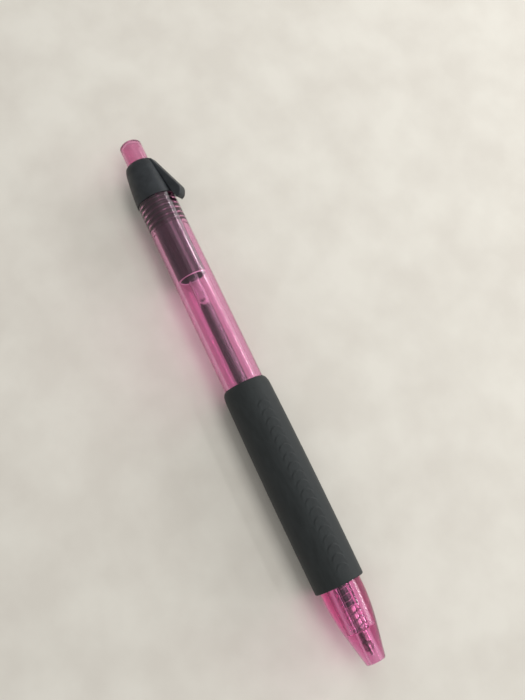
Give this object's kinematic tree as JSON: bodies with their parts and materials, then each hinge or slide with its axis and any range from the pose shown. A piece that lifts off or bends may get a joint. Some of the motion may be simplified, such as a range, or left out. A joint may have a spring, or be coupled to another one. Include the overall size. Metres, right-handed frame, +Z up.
{
  "type": "retractable ballpoint pen",
  "caption": "Click-button ballpoint pen with a see-through barrel, ridged rubber grip, short side clip and a sprung refill that slides out through the nose.",
  "frame": {"origin": "centre of the flat ring at the nose end, on the pen's axis", "axes": "+X along the pen from the nose to the button, +Z up from the table that the pen lies on, clip towards -Y and a little up"},
  "size_m": [0.1418, 0.0137, 0.0124],
  "materials": {
    "barrel_plastic": "clear pink moulded plastic",
    "grip_rubber": "matte black moulded rubber with scalloped ridges",
    "collar_plastic": "satin black moulded plastic",
    "sleeve_plastic": "dark moulded plastic",
    "button_plastic": "clear pink moulded plastic",
    "mechanism_plastic": "natural acetal",
    "tube_plastic": "clear extruded tube",
    "ink": "dark ink",
    "holder_plastic": "black moulded plastic",
    "point_metal": "turned nickel silver",
    "ball_metal": "polished carbide",
    "spring_steel": "drawn spring wire"
  },
  "bodies": {
    "barrel": {"barrel": "barrel_plastic", "rubber_grip": "grip_rubber", "clip_collar": "collar_plastic", "cam_sleeve": "sleeve_plastic", "return_spring": "spring_steel"},
    "button": {"push_button": "button_plastic", "plunger": "mechanism_plastic"},
    "refill": {"rotor_cam": "mechanism_plastic", "refill_tube": "tube_plastic", "ink_column": "ink", "point_holder": "holder_plastic", "writing_point": "point_metal"},
    "ball": {"writing_ball": "ball_metal"},
    "clip": {"pocket_clip": "collar_plastic"}
  },
  "joints": [
    {"name": "button_press", "type": "slide", "parent": "barrel", "child": "button", "axis": [-1, 0, 0], "range_m": [0, 0.0055], "stiffness_N_per_m": 400, "springref_m": -0.004, "deforming": ["return_spring"]},
    {"name": "refill_feed", "type": "slide", "parent": "barrel", "child": "refill", "axis": [-1, 0, 0], "range_m": [0, 0.0055]},
    {"name": "ball_roll", "type": "hinge", "parent": "refill", "child": "ball", "pos_m": [0.002, 0, 0], "axis": [0, 1, 0], "continuous": true},
    {"name": "clip_flex", "type": "hinge", "parent": "barrel", "child": "clip", "pos_m": [0.1339, -0.00337, 0.00172], "axis": [0, 0.454, 0.891], "range_deg": [0, 6], "stiffness_Nm_per_rad": 0.4}
  ],
  "couplings": [
    {"joint": "refill_feed", "follows": "button_press", "ratio": 1}
  ]
}
